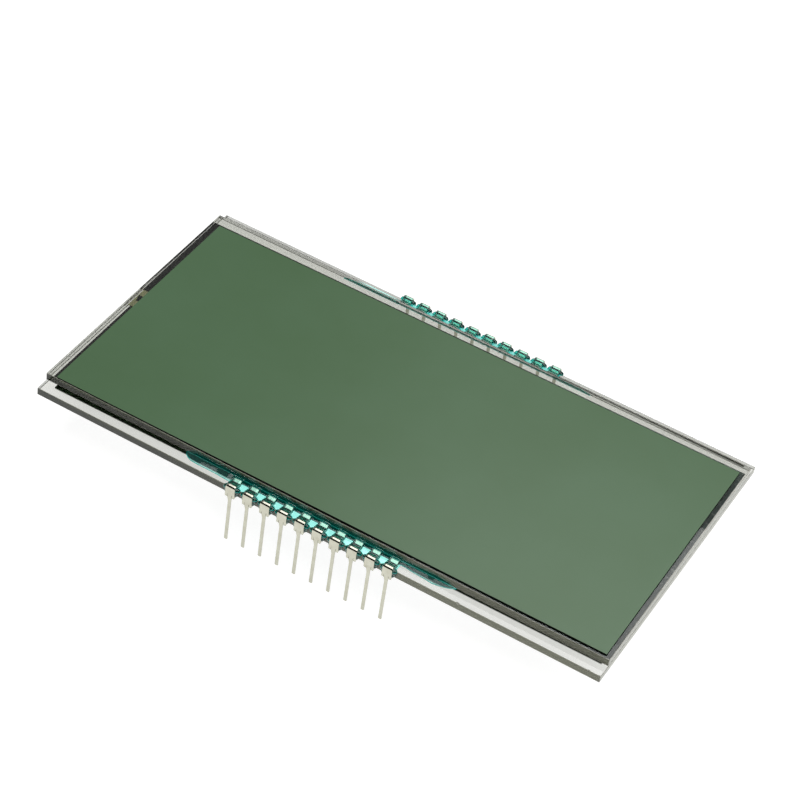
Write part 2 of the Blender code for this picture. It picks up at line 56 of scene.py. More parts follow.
# %% [markdown]
# The camera stands where the photographer's did. Its numbers come from a fit of the pin pitch,
# the leg tips and the plates' corners to the picture: a short telephoto view from the front
# right, with the camera rolled a little so that the display lies across the frame.

# %% Camera
AIM = Vector((0.0, 0.0, 7.7)) * MM
AZIMUTH, ELEVATION, ROLL = math.radians(24.089), math.radians(42.621), math.radians(9.274)
DISTANCE, SLIDE_RIGHT, SLIDE_UP = 349.146 * MM, -0.466 * MM, 4.35 * MM
LENS_MM, SENSOR_MM = 121.65, 36.0

towards = Vector(
    (
        math.sin(AZIMUTH) * math.cos(ELEVATION),
        -math.cos(AZIMUTH) * math.cos(ELEVATION),
        math.sin(ELEVATION),
    )
)
level = (-towards).cross(Vector((0, 0, 1))).normalized()
upright = level.cross(-towards)
right = level * math.cos(ROLL) + upright * math.sin(ROLL)
above = upright * math.cos(ROLL) - level * math.sin(ROLL)

bpy.ops.object.camera_add()
camera = bpy.context.object
camera.name = "studio_camera"
camera.data.lens = LENS_MM
camera.data.sensor_width = SENSOR_MM
camera.data.clip_start, camera.data.clip_end = 0.01, 20.0
stand = AIM + towards * DISTANCE + level * SLIDE_RIGHT + upright * SLIDE_UP
turn = Matrix((right, above, towards)).transposed().to_4x4()
camera.matrix_world = Matrix.Translation(stand) @ turn
bpy.context.scene.camera = camera
print("camera at", [round(v, 4) for v in stand])

# %% [markdown]
# A few small helpers carry all the materials. One turns a web colour into the linear numbers
# that shaders work with, one adds a shader node with its settings and links, and one starts a
# material. The others put the usual nodes together: noise with lumps of a real size, a colour or
# a number that follows it, and bumps of a real depth.

# %% Helpers for materials


def linear(web_colour):
    """Linear RGBA from an sRGB hex colour."""
    channels = [int(web_colour[i : i + 2], 16) / 255 for i in (1, 3, 5)]
    return (*[c / 12.92 if c <= 0.04045 else ((c + 0.055) / 1.055) ** 2.4 for c in channels], 1.0)


def add_node(material, kind, settings=None, values=None, links=None):
    """A node with its settings, its socket values and the sockets that feed it."""
    tree = material.node_tree
    node = tree.nodes.new(kind)
    for name, value in (settings or {}).items():
        setattr(node, name, value)
    for name, value in (values or {}).items():
        node.inputs[name].default_value = value
    for name, source in (links or {}).items():
        tree.links.new(source, node.inputs[name])
    return node


def new_material(name, **values):
    """A Principled material and its shader, with values set on the shader's own sockets."""
    material = bpy.data.materials.new(name)
    material.use_nodes = True
    shader = material.node_tree.nodes["Principled BSDF"]
    for socket, value in values.items():
        shader.inputs[socket.replace("_", " ")].default_value = value
    print("material:", name)
    return material, shader


def feed(material, source, shader, socket):
    """Link a node's output to a socket of the shader."""
    material.node_tree.links.new(source, shader.inputs[socket])


def object_place(material, axis=None):
    """The place in the object's own space in metres, whole or along one axis."""
    place = add_node(material, "ShaderNodeTexCoord").outputs["Object"]
    if axis is None:
        return place
    return add_node(material, "ShaderNodeSeparateXYZ", links={"Vector": place}).outputs[axis]


def noise(material, lump, detail, roughness=0.5):
    """Cloudy noise with lumps of a real size: one number, or three for X, Y and Z."""
    lumps = lump if isinstance(lump, tuple) else (lump, lump, lump)
    stretched = add_node(
        material,
        "ShaderNodeMapping",
        values={"Scale": [1 / length for length in lumps]},
        links={"Vector": object_place(material)},
    )
    return add_node(
        material,
        "ShaderNodeTexNoise",
        values={"Scale": 1.0, "Detail": detail, "Roughness": roughness},
        links={"Vector": stretched.outputs["Vector"]},
    ).outputs["Fac"]


def ramp(material, source, first, last, start=0.0, end=1.0):
    """A colour between two web colours, as a number goes from start to end."""
    node = add_node(material, "ShaderNodeValToRGB", links={"Fac": source})
    for stop, place, colour in zip(node.color_ramp.elements, (start, end), (first, last)):
        stop.position, stop.color = place, linear(colour)
    return node.outputs["Color"]


def between(material, source, first, last, start=0.0, end=1.0):
    """A number from the first to the last, as another goes from start to end."""
    return add_node(
        material,
        "ShaderNodeMapRange",
        values={"From Min": start, "From Max": end, "To Min": first, "To Max": last},
        links={"Value": source},
    ).outputs["Result"]


def bump(material, source, strength, depth):
    """Bumps of a real depth."""
    return add_node(
        material,
        "ShaderNodeBump",
        values={"Strength": strength, "Distance": depth},
        links={"Height": source},
    ).outputs["Normal"]


# %% [markdown]
# The same few hand moves come back for every piece: add a block by its corners, pick faces or
# edges by where they lie, cut with a plane, and hand the finished piece over to the frame. An
# operator works on whatever is selected, so each helper first deselects everything else.

# %% Helpers for modelling
# A cut joins to corners nearer than this. Blender's own value is a tenth of a millimetre.
NEAR = 0.0001 * MM


def only(*pieces):
    """Select these objects and nothing else, and make the first one active."""
    bpy.ops.object.select_all(action="DESELECT")
    for piece in pieces:
        piece.select_set(True)
    bpy.context.view_layer.objects.active = pieces[0]


def block(name, low, high):
    """A box between two corners, given in metres."""
    bpy.ops.object.select_all(action="DESELECT")
    size = [b - a for a, b in zip(low, high)]
    centre = [(a + b) / 2 for a, b in zip(low, high)]
    bpy.ops.mesh.primitive_cube_add(size=1.0, location=centre, scale=size)
    piece = bpy.context.object
    piece.name = piece.data.name = name
    bpy.ops.object.transform_apply(location=True, rotation=True, scale=True)
    return piece


def pick(piece, kind, wanted):
    """Go into edit mode with the faces, edges or corners selected that pass a test."""
    only(piece)
    bpy.ops.object.mode_set(mode="EDIT")
    bpy.ops.mesh.select_mode(type=kind)
    bpy.ops.mesh.select_all(action="DESELECT")
    bpy.ops.object.mode_set(mode="OBJECT")
    mesh = piece.data
    if kind == "FACE":
        for face in mesh.polygons:
            face.select = wanted(face.center, face.normal)
    elif kind == "EDGE":
        for edge in mesh.edges:
            ends = [mesh.vertices[i].co for i in edge.vertices]
            edge.select = wanted(*ends)
    else:
        for corner in mesh.vertices:
            corner.select = wanted(corner.co, corner.normal)
    bpy.ops.object.mode_set(mode="EDIT")


def back_to_object():
    """Leave edit mode."""
    bpy.ops.object.mode_set(mode="OBJECT")


def cut_across(axis, *places):
    """In edit mode, cut the whole mesh at places along X or Y and keep all of it."""
    direction = (1, 0, 0) if axis == "X" else (0, 1, 0)
    for place in places:
        bpy.ops.mesh.select_all(action="SELECT")
        bpy.ops.mesh.bisect(
            plane_co=[place * d for d in direction], plane_no=direction, threshold=NEAR
        )


def cut_away(piece, place, direction):
    """Cut off what lies beyond a plane and close the cut."""
    only(piece)
    bpy.ops.object.mode_set(mode="EDIT")
    bpy.ops.mesh.select_all(action="SELECT")
    bpy.ops.mesh.bisect(
        plane_co=place,
        plane_no=direction,
        use_fill=True,
        clear_outer=True,
        threshold=NEAR,
    )
    back_to_object()


def finish_with(piece, kind, **settings):
    """Add a modifier with its settings and apply it."""
    only(piece)
    bpy.ops.object.modifier_add(type=kind)
    modifier = piece.modifiers[-1]
    for name, value in settings.items():
        setattr(modifier, name, value)
    bpy.ops.object.modifier_apply(modifier=modifier.name)


def second_finish(piece, material, wanted):
    """Give the faces that pass a test a second material."""
    piece.data.materials.append(material)
    index = len(piece.data.materials) - 1
    count = 0
    for face in piece.data.polygons:
        if wanted(face.center, face.normal):
            face.material_index = index
            count += 1
    return count


def hand_over(piece, material_slot, *nodes):
    """Let a piece ride on the frame in place of its CAD nodes."""
    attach(piece, "root")
    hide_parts(*nodes)
    triangles = sum(len(face.vertices) - 2 for face in piece.data.polygons)
    print(piece.name, "stands for", ", ".join(nodes), "with", triangles, "triangles")


# %% [markdown]
# Float glass is clear and faintly green, which only shows where light runs a long way through
# it, so its colour goes into a volume and not onto its surface. A plate that has been handled
# carries a breath of haze, drawn here as a soft pattern in the roughness a few millimetres wide.

# %% Float glass
# Soda-lime float glass, polished by the tin bath: a mirror-smooth face with a faint haze.
glass, shader = new_material(
    "float_glass", Base_Color=linear("#FFFFFF"), IOR=1.52, Transmission_Weight=1.0
)
haze = noise(glass, 6 * MM, detail=4.0, roughness=0.6)
feed(glass, between(glass, haze, 0.0, 0.02, start=0.45, end=0.75), shader, "Roughness")


def tint_volume(material, colour, density):
    """Let a see-through material swallow light on its way through."""
    absorb = add_node(
        material, "ShaderNodeVolumeAbsorption", values={"Color": colour, "Density": density}
    )
    output = material.node_tree.nodes["Material Output"]
    material.node_tree.links.new(absorb.outputs["Volume"], output.inputs["Volume"])


# The plates' inner faces carry see-through electrodes and a rubbed plastic coat, which swallow
# more than the glass does. All of it is put into the volume: per metre 255 of red, 250 of green
# and 285 of blue.
PLATE_TINT, PLATE_DENSITY = (0.105, 0.123, 0.0, 1.0), 285.0
tint_volume(glass, PLATE_TINT, PLATE_DENSITY)

# %% [markdown]
# Display plates aren't sawn. A wheel scratches the glass and it is snapped along the scratch,
# which leaves a bright face with fine ripples that run along the plate, a band of short teeth
# under the scratch, and small shells broken out of the rims.

# %% Snapped glass edge
# Snapped soda-lime glass: clear, with ripples that break up what is seen through it.
snapped, shader = new_material("snapped_glass_edge", IOR=1.52, Transmission_Weight=0.77)
# Painted light and shade: the edge is drawn darker on the left and lighter on the right, as the
# light falls from the right. A slow change along X.
painted_light_along_x = between(
    snapped, object_place(snapped, "X"), 0.0, 1.0, start=-22 * MM, end=16 * MM
)
painted_light_edge_colours = ramp(snapped, painted_light_along_x, "#4E5540", "#CDD0B0")
feed(snapped, painted_light_edge_colours, shader, "Base Color")
# Ripples 0.15 mm apart in height and 4 mm long along the edge, on both long and short sides.
ripples = noise(snapped, (4 * MM, 4 * MM, 0.15 * MM), detail=3.0, roughness=0.55)
feed(snapped, bump(snapped, ripples, 0.35, 0.01 * MM), shader, "Normal")
feed(snapped, between(snapped, ripples, 0.02, 0.1, start=0.3, end=0.7), shader, "Roughness")
tint_volume(snapped, PLATE_TINT, PLATE_DENSITY)

# %% Broken rims
# Ground or splintered glass on the arrises and in the chips: white powder in the scratches.
broken, shader = new_material("splintered_glass_rim", IOR=1.52, Transmission_Weight=0.45)
# Splinters 0.1 mm wide.
splinters = noise(broken, 0.1 * MM, detail=3.0, roughness=0.7)
rim_colours = ramp(broken, splinters, "#8E8E7E", "#C8C8B8", start=0.35, end=0.65)
feed(broken, rim_colours, shader, "Base Color")
feed(broken, between(broken, splinters, 0.25, 0.6), shader, "Roughness")
tint_volume(broken, PLATE_TINT, PLATE_DENSITY)

# %% [markdown]
# The two plates are boxes. What makes them glass plates to the eye is their rims: each edge
# carries a tiny arris, and here and there a shell-shaped chip. The arris is an edit-mode bevel
# and the chips are cut with flattened balls, because a chip in glass is a piece of a ball. The
# two larger chips on the near rim of the lower plate are where the photograph has them.

# %% Glass plates
ARRIS, LONG_SIDE_SHARE = 0.05 * MM, 0.65
dice = random.Random(11)


def chip_balls(name, places):
    """Flattened balls that bite shell-shaped chips out of a rim, as one cutter."""
    balls = []
    for place, radii in places:
        bpy.ops.object.select_all(action="DESELECT")
        turn = (dice.uniform(-0.5, 0.5), dice.uniform(-0.5, 0.5), dice.uniform(-0.4, 0.4))
        bpy.ops.mesh.primitive_ico_sphere_add(
            subdivisions=3, radius=1.0, location=place, rotation=turn, scale=radii
        )
        balls.append(bpy.context.object)
    only(*balls)
    bpy.ops.object.join()
    cutter = bpy.context.object
    cutter.name = name
    bpy.ops.object.transform_apply(location=True, rotation=True, scale=True)
    return cutter


def rim_places(low, high, count):
    """Random small chips along the rims of a plate: where, and how far along, out and down."""
    places = []
    for _ in range(count):
        long_side = dice.random() < LONG_SIDE_SHARE
        reach = dice.uniform(0.06, 0.22) * MM
        bite = reach * dice.uniform(0.25, 0.45)
        z = dice.choice((low[2], high[2]))
        if long_side:
            place = (dice.uniform(low[0], high[0]), dice.choice((low[1], high[1])), z)
            places.append((place, (reach, bite, bite)))
        else:
            place = (dice.choice((low[0], high[0])), dice.uniform(low[1], high[1]), z)
            places.append((place, (bite, reach, bite)))
    return places


def glass_plate(name, node, seen_chips, small_chips):
    """A plate with an arris all round and chipped rims, in place of its CAD node."""
    low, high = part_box(node)
    plate = block(name, low, high)
    pick(plate, "EDGE", lambda a, b: True)
    bpy.ops.mesh.bevel(offset=ARRIS, segments=2, affect="EDGES")
    back_to_object()
    cutter = chip_balls(name + "_chips", rim_places(low, high, small_chips) + seen_chips)
    finish_with(plate, "BOOLEAN", object=cutter, operation="DIFFERENCE", solver="EXACT")
    bpy.data.objects.remove(cutter, do_unlink=True)
    plate.data.materials.clear()
    plate.data.materials.append(glass)
    # The faces that the cutter leaves behind come with a slot of their own.
    for face in plate.data.polygons:
        face.material_index = 0
    snapped_faces = second_finish(plate, snapped, lambda middle, normal: abs(normal.z) < 0.9)
    second_finish(plate, broken, lambda middle, normal: max(abs(c) for c in normal) < 0.97)
    print(name, "has", snapped_faces, "snapped faces")
    hand_over(plate, "glass", node)


low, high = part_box("rear_glass")
near_rim_chips = [
    ((21.35 * MM, low[1], high[2]), (0.32 * MM, 0.14 * MM, 0.16 * MM)),
    ((39.36 * MM, low[1], high[2]), (0.26 * MM, 0.12 * MM, 0.14 * MM)),
]
glass_plate("rear_plate", "rear_glass", near_rim_chips, small_chips=44)
glass_plate("front_plate", "front_glass", [], small_chips=36)

# %% [markdown]
# The polarizer is a sandwich of plastic foils with a satin top. In daylight it looks grey-green,
# because the dyed foil swallows half of the light, the mirror foil under the cell sends the rest
# back, and it is swallowed again. Drawn as one opaque satin film it gives the same field. Its
# cut edge shows the dyed core, nearly black.

# %% Polarizer film
# Dyed polyvinyl alcohol between two acetate foils: satin, with a very fine grain.
film, shader = new_material("polarizer_film", Roughness=0.25, IOR=1.49)
clouds = noise(film, 14 * MM, detail=3.0, roughness=0.5)
film_colours = ramp(film, clouds, "#425F3F", "#466345", start=0.3, end=0.7)
feed(film, film_colours, shader, "Base Color")
# The real grain is about 0.02 mm. It is drawn 0.12 mm wide so that it shows at all.
grain = noise(film, 0.12 * MM, detail=2.0, roughness=0.6)
feed(film, bump(film, grain, 0.06, 0.004 * MM), shader, "Normal")

# %% Cut edge of the film
# The sawn edge of the same sandwich: the dyed core between two clear foils, rough.
film_edge, shader = new_material(
    "polarizer_cut_edge", Roughness=0.7, IOR=1.49, Specular_IOR_Level=0.1
)
layers = noise(film_edge, 0.3 * MM, detail=2.0)
edge_colours = ramp(film_edge, layers, "#020403", "#0A0F0B")
feed(film_edge, edge_colours, shader, "Base Color")

# %% [markdown]
# The viewing film was laid by hand, a little off centre and turned by a third of a degree, and
# the frame has it so. A box that is turned can't be read from its corners alone, so its size and
# its turn are named here and its middle is taken from the frame. It starts inside the glass, as
# its glue leaves no air under it.

# %% Viewing film
# The frame leaves AIR between pieces that touch, and PRESS is how far they go into the glass.
AIR, PRESS = 0.01 * MM, 0.012 * MM
FILM_LENGTH, FILM_WIDTH, FILM_TURN = 79.76 * MM, 38.36 * MM, math.radians(0.3)
FILM_RIM = 0.02 * MM


def turned(piece, angle, about):
    """Turn a piece round an upright axis through a point, in its mesh."""
    only(piece)
    spin = Matrix.Translation(about) @ Matrix.Rotation(angle, 4, "Z")
    piece.matrix_world = spin @ Matrix.Translation([-v for v in about])
    bpy.ops.object.transform_apply(location=True, rotation=True, scale=True)


def laid_film(name, node, length, width, heights, turn, shift=0.0):
    """A turned film with a rolled-down rim, shifted across the cell from its node's middle."""
    low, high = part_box(node)
    middle = [(a + b) / 2 for a, b in zip(low, high)]
    middle[1] += shift
    piece = block(
        name,
        (middle[0] - length / 2, middle[1] - width / 2, heights[0]),
        (middle[0] + length / 2, middle[1] + width / 2, heights[1]),
    )
    pick(piece, "EDGE", lambda a, b: True)
    bpy.ops.mesh.bevel(offset=FILM_RIM, segments=2, affect="EDGES")
    back_to_object()
    turned(piece, turn, (middle[0], middle[1], 0.0))
    return piece


low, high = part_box("front_polarizer")
viewing_film = laid_film(
    "viewing_film",
    "front_polarizer",
    FILM_LENGTH,
    FILM_WIDTH,
    (low[2] - AIR - PRESS, high[2]),
    FILM_TURN,
)
viewing_film.data.materials.append(film)
second_finish(viewing_film, film_edge, lambda middle, normal: abs(normal.z) < 0.5)
hand_over(viewing_film, "polarizer", "front_polarizer")

# %% [markdown]
# Under the cell lie a second polarizer and the mirror foil that gives the display its light. The
# foil is rolled aluminium film, matt silver, with the fine lines of the rolls along it. In the
# photograph the dark rim of these films shows through the near ledge on the left half only, so
# they are laid a little turned and shifted, and are a little wider than the frame's.

# %% Back films
# Aluminised plastic film: matt silver, with roll lines.
foil, shader = new_material("reflector_foil", Metallic=1.0, Roughness=0.4)
# Roll lines 0.2 mm apart and 20 mm long, along X.
roll_lines = noise(foil, (20 * MM, 0.2 * MM, 20 * MM), detail=4.0, roughness=0.6)
foil_colours = ramp(foil, roll_lines, "#B4B6B2", "#CBCDC9", start=0.3, end=0.7)
feed(foil, foil_colours, shader, "Base Color")
feed(foil, bump(foil, roll_lines, 0.2, 0.01 * MM), shader, "Normal")

BACK_WIDTH, BACK_SHIFT, BACK_TURN = 38.85 * MM, -0.525 * MM, math.radians(0.41)
low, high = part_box("rear_polarizer")
print("the frame's rear film is", round((high[1] - low[1]) / MM, 2), "mm wide")


def film_below(name, node):
    """A film under the cell, as long as its node and pressed up against what is over it."""
    low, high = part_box(node)
    heights = (low[2], high[2] + AIR + PRESS)
    return laid_film(name, node, high[0] - low[0], BACK_WIDTH, heights, BACK_TURN, BACK_SHIFT)


back_film = film_below("back_film", "rear_polarizer")
back_film.data.materials.append(film)
second_finish(back_film, film_edge, lambda middle, normal: abs(normal.z) < 0.5)
hand_over(back_film, "polarizer", "rear_polarizer")

mirror_foil = film_below("mirror_foil", "reflector")
mirror_foil.data.materials.append(foil)
hand_over(mirror_foil, "foil", "reflector")

# %% [markdown]
# The plates are glued together by one printed line of black epoxy that runs round the cell, with
# a port at the left end through which the liquid was filled in. It is one flat ring: a sheet is
# inset, its middle deleted, the port cut out with planes, and the rest is drawn up to the height
# of the gap. A short pillar of the same epoxy stays in the middle of the port. When the plates
# were pressed together the line spread unevenly, so parts of its outer rim are pushed out.

# %% Seal line
# Printed epoxy, filled black, seen through the glass: no gloss of its own.
epoxy, shader = new_material("seal_epoxy", Roughness=0.45, IOR=1.55)
# The screen print leaves lumps about 0.5 mm wide.
lumps = noise(epoxy, 0.5 * MM, detail=3.0)
epoxy_colours = ramp(epoxy, lumps, "#040706", "#121815")
# Painted glare: on the right half the line is drawn slate with pale specks, standing in for the
# reflection of the softbox in the glass over it.
painted_glare_colours = ramp(epoxy, lumps, "#5E6F6E", "#A9B4B2", start=0.55, end=0.72)
painted_glare_to_right = between(epoxy, object_place(epoxy, "X"), 0.0, 1.0, start=6 * MM, end=18 * MM)
line_and_glare_colours = add_node(
    epoxy,
    "ShaderNodeMixRGB",
    links={"Fac": painted_glare_to_right, "Color1": epoxy_colours, "Color2": painted_glare_colours},
)
feed(epoxy, line_and_glare_colours.outputs["Color"], shader, "Base Color")

SEAL_LENGTH, SEAL_WIDTH_OUT, SEAL_LINE = 80.66 * MM, 38.74 * MM, 0.9 * MM
SEAL_MIDDLE = (0.0, -0.1 * MM, 0.0)
PORT_WIDTH, PILLAR_WIDTH, PORT_Y = 3.7 * MM, 1.2 * MM, -0.3 * MM
gap_low, gap_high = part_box("rear_glass")[1][2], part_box("front_glass")[0][2]
cell_low, cell_high = gap_low - PRESS, gap_high + PRESS

bpy.ops.object.select_all(action="DESELECT")
bpy.ops.mesh.primitive_plane_add(
    size=1.0, location=(SEAL_MIDDLE[0], SEAL_MIDDLE[1], cell_low)
)
seal_line = bpy.context.object
seal_line.name = seal_line.data.name = "seal_line"
seal_line.scale = (SEAL_LENGTH, SEAL_WIDTH_OUT, 1.0)
bpy.ops.object.transform_apply(location=True, rotation=True, scale=True)
pick(seal_line, "FACE", lambda middle, normal: True)
bpy.ops.mesh.inset(thickness=SEAL_LINE)
bpy.ops.mesh.delete(type="FACE")
for half in (PORT_WIDTH / 2, PILLAR_WIDTH / 2):
    cut_across("Y", PORT_Y - half, PORT_Y + half)
back_to_object()


def in_port(middle, normal):
    """True for the faces that the port opens."""
    at_end = middle.x < -SEAL_LENGTH / 2 + SEAL_LINE
    return at_end and PILLAR_WIDTH / 2 < abs(middle.y - PORT_Y) < PORT_WIDTH / 2


pick(seal_line, "FACE", in_port)
bpy.ops.mesh.delete(type="FACE")
bpy.ops.mesh.select_all(action="SELECT")
bpy.ops.mesh.extrude_region_move(
    TRANSFORM_OT_translate={"value": (0, 0, cell_high - cell_low)}
)
bpy.ops.mesh.select_all(action="SELECT")
bpy.ops.mesh.normals_make_consistent(inside=False)
back_to_object()
turned(seal_line, FILM_TURN, SEAL_MIDDLE)


def spread(wanted, x, y):
    """Push part of the line's outer rim outwards, as the press did."""
    pick(seal_line, "VERT", lambda co, normal: wanted(co.x / MM, co.y / MM))
    bpy.ops.transform.translate(value=(x * MM, y * MM, 0))
    back_to_object()


# Places and pushes below are in millimetres. The photograph shows the line wider at the ends
# and along parts of the near side.
only(seal_line)
bpy.ops.object.mode_set(mode="EDIT")
cut_across("X", -12 * MM, 5 * MM, 20 * MM)
back_to_object()
spread(lambda x, y: x > 40.1, 0.4, 0.0)
spread(lambda x, y: x < -40.1 and y > -1.0, -0.3, 0.0)
spread(lambda x, y: x < -40.1 and y > 1.0, -0.2, 0.0)
spread(lambda x, y: x < 6.0 and y < -19.3, 0.0, -0.28)
spread(lambda x, y: x > 15.0 and y < -19.1, 0.0, -0.35)
seal_line.data.materials.append(epoxy)
hand_over(seal_line, "epoxy", "perimeter_seal", "fill_port_pillar")

# %% [markdown]
# Inside the seal lies the liquid crystal, a clear layer, with a tongue of it out through the
# port. From the sides of the plates the eye sees into the cell, and what it meets there is olive
# light that came down through the polarizer and up from the foil. The films are opaque here, so
# one opaque layer does the work of all three and gives a little of that light by itself.

# %% Liquid crystal layer
# Nematic liquid between two films, seen at a slant through the glass: deep olive.
crystal, shader = new_material(
    "liquid_crystal",
    Roughness=0.3,
    IOR=1.5,
    # The emission is a painted glow: it stands in for the olive light that the films send into the
    # cell.
    Emission_Color=linear("#8A8B6C"),
    Emission_Strength=0.6,
)
drift = noise(crystal, 3 * MM, detail=3.0)
crystal_colours = ramp(crystal, drift, "#62663F", "#767A52")
feed(crystal, crystal_colours, shader, "Base Color")

CELL_CORNER, TONGUE = 0.6 * MM, 0.8 * MM
half_length, half_width = (SEAL_LENGTH - SEAL_LINE) / 2, (SEAL_WIDTH_OUT - SEAL_LINE) / 2
crystal_layer = block(
    "crystal_layer",
    (-half_length, SEAL_MIDDLE[1] - half_width, cell_low + PRESS / 4),
    (half_length, SEAL_MIDDLE[1] + half_width, cell_high - PRESS / 4),
)
pick(crystal_layer, "EDGE", lambda a, b: abs(a.z - b.z) > 0.01 * MM)
bpy.ops.mesh.bevel(offset=CELL_CORNER, segments=6, affect="EDGES")
cut_across("Y", PORT_Y - PORT_WIDTH / 2, PORT_Y + PORT_WIDTH / 2)
back_to_object()


def at_port(middle, normal):
    """True for the end face that looks out through the port."""
    return normal.x < -0.9 and abs(middle.y - PORT_Y) < PORT_WIDTH / 2


pick(crystal_layer, "FACE", at_port)
bpy.ops.mesh.extrude_region_move(TRANSFORM_OT_translate={"value": (-TONGUE, 0, 0)})
back_to_object()
turned(crystal_layer, FILM_TURN, SEAL_MIDDLE)
crystal_layer.data.materials.append(crystal)
hand_over(crystal_layer, "crystal", "liquid_crystal")

# %% [markdown]
# After filling, the port was closed with a drop of clear glue that set straw-coloured. It stands
# a little proud of the plates' ends. A ball is flattened to the size of the drop, cut off flat
# where it meets the glass, and dented a little, because nobody dresses such a drop.

# %% Port glue
# Light-cured acrylic glue: clear straw, glossy, a little wavy.
glue, shader = new_material(
    "port_glue", Base_Color=linear("#FFFFFF"), IOR=1.49, Transmission_Weight=0.85
)
waves = noise(glue, 0.8 * MM, detail=2.0)
feed(glue, between(glue, waves, 0.05, 0.2), shader, "Roughness")
# Per metre: 400 of red, 900 of green and 2000 of blue are swallowed.
GLUE_TINT, GLUE_DENSITY = (0.8, 0.55, 0.0, 1.0), 2000.0
tint_volume(glue, GLUE_TINT, GLUE_DENSITY)

GLUE_BITE, DENT_WIDTH, DENT_DEPTH = 0.02 * MM, 1.5 * MM, 0.02 * MM
low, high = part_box("end_seal")
print("end seal from", [round(v / MM, 2) for v in low], "to", [round(v / MM, 2) for v in high])
plate_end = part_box("rear_glass")[0][0]
middle = [(a + b) / 2 for a, b in zip(low, high)]
bpy.ops.object.select_all(action="DESELECT")
bpy.ops.mesh.primitive_uv_sphere_add(
    segments=48,
    ring_count=24,
    radius=1.0,
    location=(plate_end, middle[1], middle[2]),
    scale=(plate_end - low[0], (high[1] - low[1]) / 2, (high[2] - low[2]) / 2),
)
port_glue = bpy.context.object
port_glue.name = port_glue.data.name = "port_glue"
bpy.ops.object.transform_apply(location=True, rotation=True, scale=True)
cut_away(port_glue, (plate_end + GLUE_BITE, 0, 0), (1, 0, 0))
dents = bpy.data.textures.new("glue_dents", type="CLOUDS")
dents.noise_scale = DENT_WIDTH
finish_with(port_glue, "DISPLACE", texture=dents, strength=DENT_DEPTH, mid_level=1.0)
bpy.ops.object.shade_smooth_by_angle(angle=math.radians(40))
port_glue.data.materials.append(glue)
hand_over(port_glue, "glue", "end_seal")

# %% [markdown]
# Two dots of silver paste carry the current from one plate to the other. The films hide them, so
# the CAD discs stay, and only get their finish.

# %% Silver paste
# Silver flakes in epoxy: dull grey metal, grainy.
silver, shader = new_material("silver_paste", Metallic=0.8, Roughness=0.5)
flakes = noise(silver, 0.08 * MM, detail=3.0)
silver_colours = ramp(silver, flakes, "#8A8A88", "#C2C2BE")
feed(silver, silver_colours, shader, "Base Color")
for name in ("crossover_dot_left", "crossover_dot_right"):
    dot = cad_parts[name]
    dot.data.materials.clear()
    dot.data.materials.append(silver)

# %% [markdown]
# The pins are stamped from drawn bronze strip and tinned. Tin is a warm, soft-looking silver. The
# drawing die leaves fine lines that run down the strip, and they spread its reflections sideways.

# %% Tinned strip
# Tin-plated phosphor bronze: warm grey metal, half bright, with drawn lines.
tin, shader = new_material("tinned_strip", Metallic=1.0)
# Drawn lines 0.06 mm apart across the strip, and long down the strip and along the fingers.
lines = noise(tin, (0.06 * MM, 1.5 * MM, 3 * MM), detail=3.0, roughness=0.6)
stains = noise(tin, 1.2 * MM, detail=4.0, roughness=0.6)
tin_colours = ramp(tin, stains, "#B9B7A7", "#C6C6B7", start=0.3, end=0.7)
feed(tin, tin_colours, shader, "Base Color")
feed(tin, between(tin, stains, 0.09, 0.2), shader, "Roughness")
feed(tin, bump(tin, lines, 0.12, 0.003 * MM), shader, "Normal")

# %% [markdown]
# Each pin is one stamped blank, folded: a body that hangs in front of the glass edge, a finger
# that goes over a round shoulder, down to the contact on the ledge and up again, a leg, and two
# lower fingers that grip the glass from below. It is folded here as on the press: the middle
# surface of the body is a plane, and each limb is an edge of it that is drawn out straight or
# turned round the middle of a bend, and made narrower as it goes.

# %% Folding a blank
BEND_STEP = math.radians(9)


def run(length, slope, waist=1.0, about=0.0):
    """Draw the picked edges out along a slope, and narrow them towards a place across."""
    step = (0.0, math.cos(slope) * length, math.sin(slope) * length)
    bpy.ops.mesh.extrude_region_move(TRANSFORM_OT_translate={"value": step})
    bpy.ops.transform.resize(value=(waist, 1, 1), center_override=(about, 0, 0))


def bend(centre, turn, waist=1.0, about=0.0):
    """Turn the picked edges round the middle of a bend, in small steps."""
    steps = max(3, round(abs(turn) / BEND_STEP))
    for _ in range(steps):
        bpy.ops.mesh.extrude_region_move(TRANSFORM_OT_translate={"value": (0, 0, 0)})
        bpy.ops.transform.rotate(
            value=-turn / steps, orient_axis="X", center_override=(0.0, *centre)
        )
        share = waist ** (1 / steps)
        bpy.ops.transform.resize(value=(share, 1, 1), center_override=(about, 0, 0))


# %% [markdown]
# The numbers below are those of the frame's pins, as places inward from the glass edge and up
# from the underside of the lower plate. Widths are given as half widths from the pin's middle.

# %% One pin
METAL = 0.2 * MM
BODY_AT, FORK_UP, BODY_HALF = -0.45 * MM, 0.28 * MM, 0.69 * MM
SHOULDER, SHOULDER_TURN = (-0.13 * MM, 1.32 * MM), math.radians(-125.87)
FALL_SLOPE, FALL = math.radians(-35.87), 0.5784 * MM
CONTACT, CONTACT_TURN = (0.62 * MM, 1.37 * MM), math.radians(71.87)
RISE_SLOPE, RISE = math.radians(36.0), 0.6007 * MM
FINGER_HALF = 0.6 * MM
LEG_HALF, LEG_TIP_HALF, SLIT_AT = 0.30 * MM, 0.215 * MM, 0.36 * MM
LEG_AT, LEG_STEP_UP, LEG_STRAIGHT_UP, LEG_TIP_UP = -0.33 * MM, -0.2 * MM, -0.9 * MM, -7.7 * MM
HOOK, HOOK_TURN, HOOK_SLOPE, HOOK_RUN = (-0.19 * MM, -0.02 * MM), 100.73, 10.73, 0.8695 * MM
PAD, PAD_TURN, FLARE_SLOPE, FLARE = (0.75 * MM, -0.31 * MM), -30.73, -20.0, 0.353 * MM
HOOK_WAIST, HOOK_ABOUT = 0.606, 0.2077 * MM
TOLERANCE = 0.005 * MM

